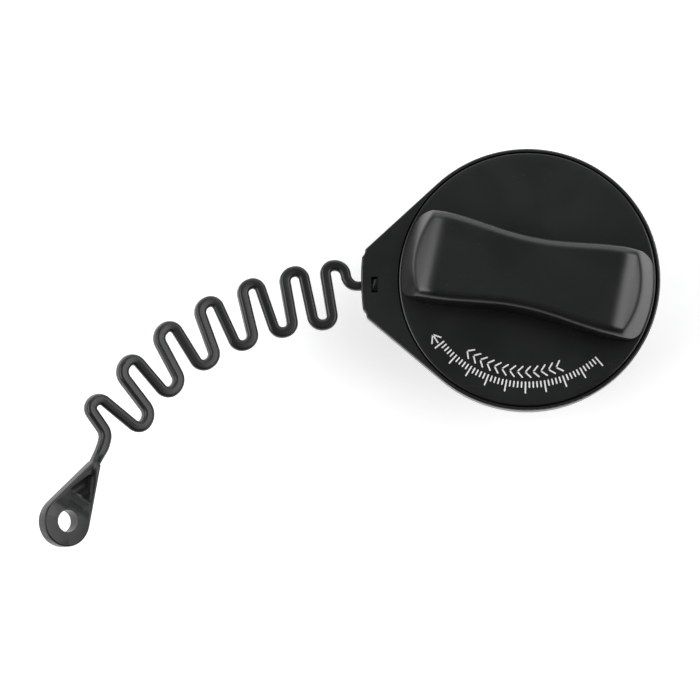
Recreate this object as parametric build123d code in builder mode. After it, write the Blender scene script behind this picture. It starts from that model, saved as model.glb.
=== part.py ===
"""Fuel filler cap with a ratchet drive, a tether ring and a moulded zigzag tether.

The cap stands on the foot of its threaded plug. The origin is the middle of that
foot, +Z is the cap's axis and points up to the grip, and the tether leaves the
ring's tab towards -X. Lengths are in millimetres and angles in degrees.
"""

import os
from math import acos, atan2, cos, degrees, hypot, radians, sin, tan

from build123d import *

os.makedirs("parts", exist_ok=True)

# ---- driving dimensions -------------------------------------------------------

# clearances between pieces
run_gap = 0.3          # between bodies that turn past each other
fit_gap = 0.1          # between pieces that are pushed together and stay so
seat_gap = 0.05        # between a valve part and the face it rests on

# threaded plug
neck_radius = 24.4     # neck inside the gasket, and the thread's crest
neck_wall = 2.2
thread_height = 2.4
thread_pitch = 5.0
thread_turns = 2.25
thread_start_z = 4.5
thread_run_out = 60.0  # turn over which each end of the thread dies away
plug_wall = 2.6
plug_length = 20.0     # foot to the upper face of the deck
deck_thickness = 2.0

# neck gasket and flange
gasket_sink = 0.8      # gasket's lower face under the deck's upper face
gasket_thickness = 3.0
gasket_width = 5.8
flange_margin = 3.8    # flange past the gasket
flange_thickness = 2.0

# collar that the tether ring turns on, with the cup inside it
collar_radius = 31.2
collar_wall = 2.7
snap_lip_depth = 1.2
snap_lip_thickness = 1.0

# tether ring and its tab
ring_radius = 40.0
ring_height = 6.5
rim_wall = 0.95
web_thickness = 2.2
tab_reach = 49.8       # cap axis to the end of the tab
tab_half_width = 11.2
tab_corner_radius = 3.2
tab_end_bulge = 0.4
socket_y = -0.6
socket_width = 3.9
socket_height = 3.4
socket_floor = 1.9
socket_depth = 8.2
window_length = 1.8
window_width = 4.8
window_inset = 2.75    # end of the tab to the edge of the window
window_chamfer = 0.3
catch_rise = 0.4       # strap's catch above the socket, in the window
pocket_depth = 3.6
pocket_wall = 1.7
pocket_width = 4.5

# grip cover
cover_thickness = 2.2
skirt_wall = 2.1
grip_height = 13.5     # above the disc
grip_turn = -10.5      # the bar's long axis, seen from above
grip_waist_half = 11.0
grip_end_half = 13.2
grip_flat_half = 26.4  # half length of the bar's flat top
grip_roll_radius = 9.0
grip_roll_slope = 32.0  # slope of the top once it has rolled down
grip_end_draft = 20.0  # lean of the bar's end walls
grip_end_radius = 3.0
grip_edge_radius = 2.8
grip_rim_ledge = 0.5   # disc left showing at each end of the bar
grip_wall = 2.3
cover_edge_radius = 0.6

# drive plate, welded under the grip cover
drive_thickness = 2.2
drive_rib_inset = 2.8  # edge of the plate to the welding rib
drive_rib_wall = 1.6
snap_hook_count = 6
snap_hook_angle = 24.0
drive_tube_wall = 2.4
drive_dog_count = 3
drive_dog_width = 4.6
drive_dog_height = 1.5

# ratchet between the drive plate and the plug
ratchet_band = 6.8     # tooth roots to the drive tube
ratchet_tooth_depth = 1.3
ratchet_tooth_count = 24
torque_ring_wall = 2.8
torque_ring_height = 3.4
pawl_count = 3
pawl_arm_angle = 62.0
pawl_arm_wall = 1.1
pawl_bridge_angle = 11.0

# relief valves inside the plug
seat_floor_thickness = 2.0
seat_tube_wall = 2.2
seat_height = 7.0
seat_skirt_wall = 4.0
seat_skirt_height = 7.6
vent_slot_count = 6
vent_slot_width = 2.4
vent_hub_radius = 3.4
o_ring_section = 1.05
seal_overlap = 2.2     # seal past the seat's lip
seal_hole_radius = 4.0
seal_thickness = 1.6
plate_gap = 2.4        # plate to the seat cup's skirt
plate_rim_wall = 0.8
plate_thickness = 1.6
spring_cup_wall = 0.5
spring_cup_depth = 2.4
pressure_wire_radius = 0.7
pressure_coil_inset = 0.6  # seat's lip to the coil's middle
pressure_coil_turns = 3.0
relief_travel = 2.0
poppet_head_radius = 5.2
poppet_head_thickness = 1.2
poppet_stem_radius = 1.1
poppet_stem_rise = 5.2  # above the valve plate
poppet_travel = 1.5
vacuum_wire_radius = 0.25
vacuum_coil_radius = 1.75
vacuum_coil_turns = 5.0
clip_radius = 2.6
clip_thickness = 0.6
filter_gap = 1.0       # filter to the drive tube
filter_thickness = 2.2

# moulded tether: a zigzag of straight legs on a surface that curls up
strap_width = 2.7
strap_height = 3.1
strap_corner = 0.8
root_run = 4.5         # end of the tab to the strap's first corner
root_rise = 0.1
first_fold = 4.4       # first leg to the corner before it
corner_radius_limit = 12.0
leg_count = 12
leg_start_run = 10.0   # end of the tab to the first leg
leg_start_y = -5.7
leg_upper_start = 11.7
leg_upper_change = -0.124
leg_lower_start = 6.26
leg_lower_change = -0.152
leg_pitch_start = 6.08
leg_pitch_growth = 0.083
heading_start = 7.2
heading_rate = 2.9
heading_growth = 0.184
lean_start = 8.35
lean_rate = 1.33
lean_growth = 0.179
lean_zigzag = 3.96
curl_slope = 0.052
curl_radius = 166.7    # of the surface that the zigzag lies on
tail_steps = ((-0.51, -0.51), (0.30, -1.78), (0.16, -2.43), (-0.28, -3.36))  # in leg pitches
tag_run_x = 7.9        # heading of the tag's neck in plan
tag_run_y = 17.9
tag_tilt = 41.0
tag_radius = 7.4
tag_neck_radius = 1.5
tag_length = 18.8
tag_thickness = 4.2
tag_edge_radius = 0.5
tag_hole_radius = 3.2
tag_recess_depth = 1.2
tag_recess_near = 8.4  # eyelet's middle to the recess
tag_recess_far = 15.4
tag_recess_half = 3.4
tag_recess_corner = 0.8

# ---- levels and radii that follow ----------------------------------------------

deck_bottom = plug_length - deck_thickness
gasket_z = plug_length - gasket_sink
flange_bottom = gasket_z + gasket_thickness
flange_top = flange_bottom + flange_thickness
web_bottom = flange_top + run_gap
web_top = web_bottom + web_thickness
ring_top = web_bottom + ring_height
cover_underside = ring_top - cover_thickness
skirt_bottom = web_top + run_gap
collar_top = cover_underside - run_gap
cup_radius = collar_radius - collar_wall
web_bore_radius = collar_radius + run_gap
rim_bore_radius = ring_radius - rim_wall
cover_radius = rim_bore_radius - run_gap
grip_top = ring_top + grip_height

thread_crest_radius = neck_radius
thread_core_radius = neck_radius - thread_height
plug_bore_radius = thread_core_radius - plug_wall
gasket_radius = neck_radius + gasket_width
flange_radius = gasket_radius + flange_margin
ratchet_root_radius = neck_radius - neck_wall
ratchet_tip_radius = ratchet_root_radius - ratchet_tooth_depth
drive_tube_outer = ratchet_root_radius - ratchet_band
filter_radius = drive_tube_outer - drive_tube_wall - filter_gap
plate_radius = plug_bore_radius - seat_skirt_wall - plate_gap
seal_radius = plate_radius - plate_rim_wall
seat_lip_radius = seal_radius - seal_overlap
pressure_coil_radius = seat_lip_radius - pressure_coil_inset

seat_lip_z = seat_height
seal_bottom = seat_lip_z + seat_gap
seal_top = seal_bottom + seal_thickness
plate_top = seal_top + plate_thickness
socket_bottom = web_bottom + socket_floor
strap_z = socket_bottom + socket_height / 2


def ring_section(inner, outer, bottom, top):
    """Rectangle of radius and height that a revolve turns into a ring."""
    with BuildSketch(Plane.XZ) as section:
        with BuildLine():
            Polyline((inner, bottom), (outer, bottom), (outer, top), (inner, top), close=True)
        make_face()
    return section.sketch


def polar(radius, angle):
    """Point of a plan view at a radius and an angle."""
    return radius * cos(radians(angle)), radius * sin(radians(angle))


def sector(inner, outer, start, end):
    """Piece of a flat ring between two angles, round the origin."""
    with BuildSketch() as piece:
        with BuildLine():
            CenterArc((0, 0), outer, start, end - start)
            CenterArc((0, 0), inner, start, end - start)
            Line(polar(inner, start), polar(outer, start))
            Line(polar(inner, end), polar(outer, end))
        make_face()
    return piece.sketch


# ---- closure body: threaded plug, flange and collar -----------------------------

gasket_bead = 0.6
neck_bottom = gasket_z - 2.0
lead_in = 0.8
tooth_pitch = 360 / ratchet_tooth_count
tooth_land = 0.1 * tooth_pitch
tooth_ramp_end = 0.93 * tooth_pitch
tooth_anchor = 0.4
vent_hole_radius = 1.2
vent_ring_radius = 6.0

with BuildPart() as closure_body:
    with BuildSketch(Plane.XZ):
        with BuildLine():
            Polyline(
                (plug_bore_radius, 0),
                (thread_core_radius - lead_in, 0),
                (thread_core_radius, lead_in),
                (thread_core_radius, neck_bottom),
                (neck_radius + gasket_bead, neck_bottom + 1.2),
                (neck_radius + gasket_bead, gasket_z),
                (neck_radius, gasket_z),
                (neck_radius, flange_bottom),
                (flange_radius, flange_bottom),
                (flange_radius, flange_top),
                (collar_radius, flange_top),
                (collar_radius, collar_top - lead_in / 2),
                (collar_radius - lead_in / 2, collar_top),
                (cup_radius - snap_lip_depth, collar_top),
                (cup_radius - snap_lip_depth, collar_top - snap_lip_thickness),
                (cup_radius, collar_top - snap_lip_thickness),
                (cup_radius, flange_top),
                (ratchet_root_radius, flange_top),
                (ratchet_root_radius, plug_length),
                (0, plug_length),
                (0, deck_bottom),
                (plug_bore_radius, deck_bottom),
                close=True,
            )
        make_face()
    revolve(axis=Axis.Z)
    with BuildSketch(Plane.XY.offset(plug_length)):
        with PolarLocations(0, ratchet_tooth_count):
            Polygon(
                polar(ratchet_root_radius + tooth_anchor, 0),
                polar(ratchet_tip_radius, 0),
                polar(ratchet_tip_radius, tooth_land),
                polar(ratchet_root_radius, tooth_ramp_end),
                polar(ratchet_root_radius + tooth_anchor, tooth_ramp_end),
                align=None,
            )
    extrude(amount=flange_top - plug_length)
    with BuildSketch(Plane.XY.offset(deck_bottom)):
        with PolarLocations(vent_ring_radius, 4):
            Circle(vent_hole_radius)
    extrude(amount=deck_thickness, mode=Mode.SUBTRACT)

thread_root_width = 0.62 * thread_pitch
thread_crest_width = 0.3 * thread_pitch
thread_sink = 0.3
thread_end_z = thread_start_z + thread_pitch * thread_turns
run_out_rise = thread_pitch * thread_run_out / 360
run_out_height = run_out_rise + thread_root_width + 2 * thread_sink


def run_out(end, way):
    """Plan of what is cut from one end of the thread: all of it there, and none a turn later."""
    with BuildSketch() as wedge:
        with BuildLine():
            middle = (thread_core_radius + thread_crest_radius) / 2 + thread_sink
            past = thread_crest_radius + thread_height
            ThreePointArc(
                polar(thread_core_radius - 2 * thread_sink, end),
                polar(middle, end + way * thread_run_out / 2),
                polar(thread_crest_radius + thread_sink, end + way * thread_run_out),
            )
            Line(
                polar(thread_crest_radius + thread_sink, end + way * thread_run_out),
                polar(past, end + way * thread_run_out),
            )
            CenterArc((0, 0), past, end + way * thread_run_out, -way * (thread_run_out + 4))
            Line(polar(past, end - way * 4), polar(thread_core_radius - 2 * thread_sink, end))
        make_face()
    return wedge.sketch


with BuildPart() as thread:
    with BuildLine():
        helix = Helix(
            pitch=thread_pitch,
            height=thread_pitch * thread_turns,
            radius=thread_core_radius,
            center=(0, 0, thread_start_z),
        )
    with BuildSketch(Plane(origin=helix @ 0, x_dir=(1, 0, 0), z_dir=helix % 0)):
        with BuildLine():
            Polyline(
                (-thread_sink, -thread_root_width / 2),
                (thread_height, -thread_crest_width / 2),
                (thread_height, thread_crest_width / 2),
                (-thread_sink, thread_root_width / 2),
                close=True,
            )
        make_face()
    sweep(is_frenet=True)
    with BuildSketch(Plane.XY.offset(thread_start_z - thread_root_width / 2 - thread_sink)):
        add(run_out(0, 1))
    extrude(amount=run_out_height, mode=Mode.SUBTRACT)
    with BuildSketch(Plane.XY.offset(thread_end_z + thread_root_width / 2 + thread_sink)):
        add(run_out(360 * thread_turns, -1))
    extrude(amount=-run_out_height, mode=Mode.SUBTRACT)

with closure_body:
    add(thread.part)
closure_body.part.label = "closure_body"
export_step(closure_body.part, "parts/closure_body.step")

# ---- neck gasket -----------------------------------------------------------------

gasket_lip = 1.0
with BuildPart() as neck_gasket:
    with BuildSketch(Plane.XZ):
        with BuildLine():
            Polyline(
                (neck_radius, gasket_z),
                (neck_radius + 2.2, gasket_z),
                (neck_radius + 3.0, gasket_z + gasket_lip),
                (gasket_radius - 1.0, gasket_z + 0.2),
                (gasket_radius, gasket_z + gasket_lip),
                (gasket_radius - 0.6, flange_bottom - gasket_lip),
                (gasket_radius - 0.6, flange_bottom),
                (neck_radius, flange_bottom),
                close=True,
            )
        make_face()
    revolve(axis=Axis.Z)
neck_gasket.part.label = "neck_gasket"
export_step(neck_gasket.part, "parts/neck_gasket.step")

# ---- vent filter: foam disc on the deck, over the vent holes ---------------------

with BuildPart() as vent_filter:
    with BuildSketch(Plane.XY.offset(plug_length)):
        Circle(filter_radius)
    extrude(amount=filter_thickness)
vent_filter.part.label = "vent_filter"
export_step(vent_filter.part, "parts/vent_filter.step")

# ---- torque ring with three sprung pawls -----------------------------------------

torque_bottom = plug_length + run_gap
torque_top = torque_bottom + torque_ring_height
torque_inner = drive_tube_outer + run_gap
torque_outer = torque_inner + torque_ring_wall
arm_outer = ratchet_tip_radius - 0.5
arm_inner = arm_outer - pawl_arm_wall
nose_radius = ratchet_root_radius - run_gap
nose_front = tooth_pitch - 0.5
nose_back = tooth_land
arm_root = nose_front - pawl_arm_angle
notch_depth = drive_dog_height + run_gap

with BuildPart() as torque_ring:
    with BuildSketch(Plane.XY.offset(torque_bottom)):
        Circle(torque_outer)
        with PolarLocations(0, pawl_count):
            add(sector(arm_inner, arm_outer, arm_root, nose_front))
            add(sector(torque_inner + 1, arm_outer, arm_root, arm_root + pawl_bridge_angle))
            Polygon(
                polar(arm_inner, nose_front),
                polar(nose_radius, nose_front),
                polar(nose_radius, nose_front - 1.0),
                polar(arm_outer - 0.1, nose_back),
                polar(arm_inner, nose_back),
                align=None,
            )
        Circle(torque_inner, mode=Mode.SUBTRACT)
        with PolarLocations(torque_inner, drive_dog_count):
            Rectangle(2 * notch_depth, drive_dog_width + 2 * run_gap, mode=Mode.SUBTRACT)
    extrude(amount=torque_ring_height)
torque_ring.part.label = "torque_ring"
export_step(torque_ring.part, "parts/torque_ring.step")

# ---- drive plate: welded into the grip cover, hooked under the collar's lip -------

drive_bottom = flange_top + run_gap
drive_top = drive_bottom + drive_thickness
drive_radius = cup_radius - snap_lip_depth - run_gap
hook_radius = cup_radius - run_gap
hook_top = collar_top - snap_lip_thickness - run_gap
hook_bottom = hook_top - 1.3
drive_rib_outer = drive_radius - drive_rib_inset
tube_inner = drive_tube_outer - drive_tube_wall
dog_bottom = torque_bottom + run_gap

with BuildPart() as drive_plate:
    with BuildSketch(Plane.XY.offset(drive_bottom)):
        Circle(drive_radius)
    extrude(amount=drive_thickness)
    with BuildSketch(Plane.XY.offset(hook_bottom)):
        with PolarLocations(0, snap_hook_count):
            add(sector(drive_radius - 1.5, hook_radius, -snap_hook_angle / 2, snap_hook_angle / 2))
    extrude(amount=hook_top - hook_bottom)
    with BuildSketch(Plane.XY.offset(drive_top)):
        Circle(drive_rib_outer)
        Circle(drive_rib_outer - drive_rib_wall, mode=Mode.SUBTRACT)
    extrude(amount=cover_underside - drive_top)
    with BuildSketch(Plane.XY.offset(dog_bottom)):
        Circle(drive_tube_outer)
        with PolarLocations(drive_tube_outer, drive_dog_count):
            Rectangle(2 * drive_dog_height, drive_dog_width)
        Circle(tube_inner, mode=Mode.SUBTRACT)
    extrude(amount=drive_bottom - dog_bottom)
drive_plate.part.label = "drive_plate"
export_step(drive_plate.part, "parts/drive_plate.step")

# ---- grip cover: disc with skirt and hollow waisted bar ---------------------------

grip_plane = Plane.XY.rotated((0, 0, grip_turn))
grip_side_plane = Plane(origin=(0, 0, 0), x_dir=grip_plane.x_dir, z_dir=grip_plane.y_dir)
grip_end_plane = Plane(origin=(0, 0, 0), x_dir=grip_plane.y_dir, z_dir=grip_plane.x_dir)


def waisted_bar(wall, end_fillet, side_fillet):
    """Grip bar drawn in by a wall: waisted in plan, rolled down at both ends to leaning walls."""
    reach = cover_radius + 2
    with BuildPart() as bar:
        with BuildSketch(grip_plane.offset(cover_underside)):
            with BuildLine():
                waist = grip_waist_half - wall
                end = grip_end_half - wall
                ThreePointArc((-reach, end), (0, waist), (reach, end))
                ThreePointArc((-reach, -end), (0, -waist), (reach, -end))
                Line((-reach, -end), (-reach, end))
                Line((reach, -end), (reach, end))
            make_face()
        extrude(amount=grip_top - wall - cover_underside)
        with BuildSketch(grip_side_plane):
            top = -(grip_top - wall)
            roll_radius = grip_roll_radius - wall
            corner = grip_flat_half + roll_radius * tan(radians(grip_roll_slope / 2))
            fall = (reach - corner) * tan(radians(grip_roll_slope))
            with BuildLine():
                FilletPolyline(
                    (-reach, top + fall),
                    (-corner, top),
                    (corner, top),
                    (reach, top + fall),
                    radius=roll_radius,
                )
                Line((reach, top + fall), (reach, 0))
                Line((reach, 0), (-reach, 0))
                Line((-reach, 0), (-reach, top + fall))
            make_face()
        extrude(amount=2 * grip_end_half, both=True, mode=Mode.INTERSECT)
        lean = tan(radians(grip_end_draft))
        end_wall = cover_radius - grip_rim_ledge - wall
        lean_foot = ring_top - wall * (1 / cos(radians(grip_end_draft)) - 1) / lean
        with BuildSketch(grip_end_plane):
            Polygon(
                (0, cover_underside),
                (end_wall, cover_underside),
                (end_wall, lean_foot),
                (end_wall - (grip_top - lean_foot) * lean, grip_top),
                (0, grip_top),
                align=None,
            )
        revolve(axis=Axis.Z, mode=Mode.INTERSECT)
        if end_fillet:
            ends = bar.faces().filter_by(GeomType.CONE)
            upper = ends.edges().filter_by(lambda edge: edge.center().Z > ring_top + grip_height / 2)
            fillet(upper, end_fillet)
        if side_fillet:
            upper = bar.edges().filter_by(lambda edge: edge.center().Z > ring_top + 0.5)
            walls = bar.faces().filter_by(lambda face: abs(face.normal_at().Z) < 0.02)
            sides = walls.sort_by(SortBy.AREA)[-2:]
            fillet(upper.filter_by(lambda edge: any(edge in side.edges() for side in sides)), side_fillet)
    return bar.part


bar_outside = waisted_bar(0, grip_end_radius, grip_edge_radius)
bar_hollow = waisted_bar(grip_wall, 0, 0)

with BuildPart() as grip_cover:
    with BuildSketch(Plane.XY.offset(skirt_bottom)):
        Circle(cover_radius)
    extrude(amount=ring_top - skirt_bottom)
    fillet(grip_cover.edges().group_by(Axis.Z)[-1], cover_edge_radius)
    with BuildSketch(Plane.XY.offset(skirt_bottom)):
        Circle(cover_radius - skirt_wall)
    extrude(amount=cover_underside - skirt_bottom, mode=Mode.SUBTRACT)
    add(bar_outside)
    add(bar_hollow, mode=Mode.SUBTRACT)
grip_cover.part.label = "grip_cover"
export_step(grip_cover.part, "parts/grip_cover.step")

# ---- tether ring: rim, web and hollow tab with the tether's socket -----------------

corner_x = -(tab_reach - tab_corner_radius)
corner_y = tab_half_width - tab_corner_radius
corner_distance = hypot(corner_x, corner_y)
tangent_angle = degrees(atan2(corner_y, corner_x)) - degrees(
    acos((ring_radius - tab_corner_radius) / corner_distance)
)
ring_tangent = polar(ring_radius, tangent_angle)
corner_tangent = (
    corner_x + tab_corner_radius * cos(radians(tangent_angle)),
    corner_y + tab_corner_radius * sin(radians(tangent_angle)),
)
pocket_front = -(tab_reach - pocket_wall - 0.6)
pocket_back = -(rim_bore_radius + rim_wall + pocket_wall)
pocket_inner_y = socket_width / 2 + pocket_wall
window_back = -tab_reach + window_inset + window_length

with BuildPart() as tether_ring:
    with BuildSketch(Plane.XY.offset(web_bottom)):
        Circle(ring_radius)
        with BuildLine():
            Line((0, 0), ring_tangent)
            Line(ring_tangent, corner_tangent)
            RadiusArc(corner_tangent, (-tab_reach, corner_y), tab_corner_radius, short_sagitta=True)
            ThreePointArc((-tab_reach, corner_y), (-tab_reach - tab_end_bulge, 0), (-tab_reach, -corner_y))
            RadiusArc((-tab_reach, -corner_y), (corner_tangent[0], -corner_tangent[1]), tab_corner_radius)
            Line((corner_tangent[0], -corner_tangent[1]), (ring_tangent[0], -ring_tangent[1]))
            Line((ring_tangent[0], -ring_tangent[1]), (0, 0))
        make_face()
    extrude(amount=ring_height)
    fillet(tether_ring.edges().group_by(Axis.Z)[-1], 0.5)
    with BuildSketch(Plane.XY.offset(web_bottom)):
        Circle(web_bore_radius)
    extrude(amount=web_thickness, mode=Mode.SUBTRACT)
    with BuildSketch(Plane.XY.offset(web_top)):
        Circle(rim_bore_radius)
    extrude(amount=ring_height - web_thickness, mode=Mode.SUBTRACT)
    with BuildSketch(Plane.XY.offset(socket_bottom)):
        with Locations((-tab_reach - tab_end_bulge - 1, socket_y)):
            Rectangle(
                socket_depth + tab_end_bulge + 1, socket_width, align=(Align.MIN, Align.CENTER)
            )
    extrude(amount=socket_height, mode=Mode.SUBTRACT)
    with BuildSketch(Plane.XY.offset(socket_bottom)):
        with Locations((-tab_reach + window_inset, socket_y)):
            Rectangle(window_length, window_width, align=(Align.MIN, Align.CENTER))
    extrude(amount=ring_top - socket_bottom, mode=Mode.SUBTRACT)
    window_edge = tether_ring.edges().filter_by(Axis.Y).group_by(Axis.Z)[-1].sort_by(
        lambda edge: abs(edge.center().X - window_back)
    )
    chamfer(window_edge[0], window_chamfer)
    with BuildSketch(Plane.XY.offset(web_bottom)):
        with Locations((pocket_front, socket_y + pocket_inner_y)):
            Rectangle(pocket_back - pocket_front, pocket_width, align=(Align.MIN, Align.MIN))
        with Locations((pocket_front, socket_y - pocket_inner_y)):
            Rectangle(pocket_back - pocket_front, pocket_width, align=(Align.MIN, Align.MAX))
    extrude(amount=pocket_depth, mode=Mode.SUBTRACT)
tether_ring.part.label = "tether_ring"
export_step(tether_ring.part, "parts/tether_ring.step")

# ---- moulded tether ----------------------------------------------------------------

tab_end = -tab_reach


def curl_height(x):
    """Height of the tether's middle: it leaves the tab flat and curls up."""
    run = max(0.0, tab_end - x)
    return strap_z + curl_slope * run + run * run / (2 * curl_radius)


def on_curl(x, y):
    """Point of the tether's middle line above a place in plan."""
    return Vector(x, y, curl_height(x))


def leg_lean(index):
    """Lean of a leg from +Y: a steady growth with a small zigzag on top."""
    zigzag = lean_zigzag * min(index / 3, 1)
    side = 1 if index % 2 else -1
    return lean_start + lean_rate * index + lean_growth * index * index + side * zigzag


def tether_route():
    """Corners of the tether's middle line, from the socket to the tag."""
    x, y = tab_end - leg_start_run, leg_start_y
    route = [
        Vector(tab_end + socket_depth / 2, socket_y, strap_z),
        on_curl(tab_end - root_run, socket_y + root_rise),
        on_curl(x + first_fold, y + leg_upper_start),
    ]
    for index in range(leg_count):
        lean = radians(leg_lean(index))
        upper_length = leg_upper_start + leg_upper_change * index
        lower_length = leg_lower_start + leg_lower_change * index
        upper = on_curl(x - upper_length * sin(lean), y + upper_length * cos(lean))
        lower = on_curl(x + lower_length * sin(lean), y - lower_length * cos(lean))
        route += [lower, upper] if index % 2 else [upper, lower]
        step = index + 0.5
        heading = radians(heading_start + heading_rate * step + heading_growth * step * step)
        pitch = leg_pitch_start + leg_pitch_growth * step
        x -= pitch * cos(heading)
        y -= pitch * sin(heading)
    last = route[-1]
    for across, along in tail_steps:
        route.append(on_curl(last.X + across * leg_pitch_start, last.Y + along * leg_pitch_start))
    return route


def corner_radii(route):
    """Largest arc that each corner's two runs allow."""
    radii = []
    for before, corner, after in zip(route, route[1:], route[2:]):
        turn = radians((corner - before).get_angle(after - corner))
        shorter = min((corner - before).length, (after - corner).length)
        radii.append(min(0.47 * shorter / tan(turn / 2), corner_radius_limit))
    return radii


route = tether_route()
radii = corner_radii(route)
print("tether corner radii:", [round(radius, 2) for radius in radii])

tag_normal = Vector(sin(radians(tag_tilt)), 0, cos(radians(tag_tilt)))
tag_slope = tan(radians(tag_tilt))
neck_run = Vector(tag_run_x, tag_run_y, -tag_run_x * tag_slope).normalized()
tag_center = route[-1] - neck_run * tag_length
tag_plane = Plane(origin=tag_center, x_dir=neck_run, z_dir=tag_normal)
tag_base = tag_plane.offset(-tag_thickness / 2)
tag_turn = degrees(acos((tag_radius - tag_neck_radius) / tag_length))

with BuildPart() as tag:
    with BuildSketch(tag_base):
        Circle(tag_radius)
        with Locations((tag_length, 0)):
            Circle(tag_neck_radius)
        Polygon(
            polar(tag_radius, tag_turn),
            polar(tag_radius, -tag_turn),
            (tag_length + tag_neck_radius * cos(radians(tag_turn)), -tag_neck_radius * sin(radians(tag_turn))),
            (tag_length + tag_neck_radius * cos(radians(tag_turn)), tag_neck_radius * sin(radians(tag_turn))),
            align=None,
        )
    extrude(amount=tag_thickness)
    flats = tag.faces().filter_by(lambda face: abs(face.normal_at().dot(tag_normal)) > 0.99)
    fillet(flats.edges(), tag_edge_radius)
    with BuildSketch(tag_base):
        Circle(tag_hole_radius)
    extrude(amount=tag_thickness, mode=Mode.SUBTRACT)
    with BuildSketch(tag_plane.offset(tag_thickness / 2 - tag_recess_depth)) as recess:
        Polygon(
            (tag_recess_near, -tag_recess_half),
            (tag_recess_near, tag_recess_half),
            (tag_recess_far, 0),
            align=None,
        )
        fillet(recess.vertices(), tag_recess_corner)
    extrude(amount=tag_recess_depth, mode=Mode.SUBTRACT)

with BuildPart() as tether_strap:
    with BuildLine():
        middle_line = FilletPolyline(*route, radius=radii)
    start_along = middle_line % 0
    with BuildSketch(
        Plane(origin=middle_line @ 0, x_dir=start_along.cross(Vector(0, 0, 1)), z_dir=start_along)
    ):
        RectangleRounded(strap_width, strap_height, strap_corner)
    sweep()
    add(tag.part)
    with BuildSketch(Plane.XY.offset(socket_bottom + fit_gap)):
        with Locations((tab_end + fit_gap, socket_y)):
            Rectangle(socket_depth - 2 * fit_gap, socket_width - 2 * fit_gap, align=(Align.MIN, Align.CENTER))
    extrude(amount=socket_height - 2 * fit_gap)
    with BuildSketch(Plane.XY.offset(socket_bottom + socket_height - fit_gap)):
        with Locations((tab_end + window_inset + fit_gap, socket_y)):
            Rectangle(
                window_length - 2 * fit_gap,
                socket_width - 2 * fit_gap,
                align=(Align.MIN, Align.CENTER),
            )
    extrude(amount=catch_rise + fit_gap)
tether_strap.part.label = "tether_strap"
export_step(tether_strap.part, "parts/tether_strap.step")
print("tether length:", round(middle_line.length, 1))
print("tag centre:", tag_center, "normal:", tag_normal)

# ---- seat cup: bottom of the plug, with the valve's seat ----------------------------

cup_outer = plug_bore_radius - seat_gap
groove_bottom = 3.0
groove_height = 2 * o_ring_section + 2 * fit_gap
groove_radius = plug_bore_radius - 2 * o_ring_section - 2 * seat_gap
lip_half = 0.35

with BuildPart() as seat_cup:
    with BuildSketch(Plane.XZ):
        with BuildLine():
            Polyline(
                (0, 0),
                (cup_outer - 0.4, 0),
                (cup_outer, 0.4),
                (cup_outer, groove_bottom),
                (groove_radius, groove_bottom),
                (groove_radius, groove_bottom + groove_height),
                (cup_outer, groove_bottom + groove_height),
                (cup_outer, seat_skirt_height),
                (plug_bore_radius - seat_skirt_wall, seat_skirt_height),
                (plug_bore_radius - seat_skirt_wall, seat_floor_thickness),
                (seat_lip_radius + seat_tube_wall / 2, seat_floor_thickness),
                (seat_lip_radius + seat_tube_wall / 2, seat_lip_z - 1.0),
                (seat_lip_radius + lip_half, seat_lip_z),
                (seat_lip_radius - lip_half, seat_lip_z),
                (seat_lip_radius - seat_tube_wall / 2, seat_lip_z - 1.0),
                (seat_lip_radius - seat_tube_wall / 2, seat_floor_thickness),
                (0, seat_floor_thickness),
                close=True,
            )
        make_face()
    revolve(axis=Axis.Z)
    slot_outer = seat_lip_radius - seat_tube_wall / 2 - 0.5
    with BuildSketch(Plane.XY):
        with PolarLocations((vent_hub_radius + slot_outer) / 2, vent_slot_count):
            SlotOverall(slot_outer - vent_hub_radius, vent_slot_width)
    extrude(amount=seat_floor_thickness, mode=Mode.SUBTRACT)
seat_cup.part.label = "seat_cup"
export_step(seat_cup.part, "parts/seat_cup.step")

# ---- O-ring round the seat cup -------------------------------------------------------

o_ring_center = plug_bore_radius - seat_gap - o_ring_section
with BuildPart() as seat_o_ring:
    with BuildSketch(Plane.XZ):
        with Locations((o_ring_center, groove_bottom + groove_height / 2)):
            Circle(o_ring_section)
    revolve(axis=Axis.Z)
seat_o_ring.part.label = "seat_o_ring"
export_step(seat_o_ring.part, "parts/seat_o_ring.step")

# ---- pressure relief: rubber seal, plate, spring cup and spring ------------------------

with BuildPart() as pressure_seal:
    add(ring_section(seal_hole_radius, seal_radius, seal_bottom, seal_top))
    revolve(axis=Axis.Z)
pressure_seal.part.label = "pressure_seal"
export_step(pressure_seal.part, "parts/pressure_seal.step")

stem_hole_radius = poppet_stem_radius + 0.2
air_hole_radius = 0.55
air_ring_radius = 2.7
plate_skirt_z = seal_bottom + 0.4
with BuildPart() as valve_plate:
    with BuildSketch(Plane.XZ):
        with BuildLine():
            Polyline(
                (stem_hole_radius, seal_top),
                (seal_radius + fit_gap, seal_top),
                (seal_radius + fit_gap, plate_skirt_z),
                (plate_radius, plate_skirt_z),
                (plate_radius, plate_top - 0.4),
                (plate_radius - 0.4, plate_top),
                (stem_hole_radius, plate_top),
                close=True,
            )
        make_face()
    revolve(axis=Axis.Z)
    with BuildSketch(Plane.XY.offset(seal_top)):
        with PolarLocations(air_ring_radius, 6):
            Circle(air_hole_radius)
    extrude(amount=plate_thickness, mode=Mode.SUBTRACT)
valve_plate.part.label = "valve_plate"
export_step(valve_plate.part, "parts/valve_plate.step")

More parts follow.
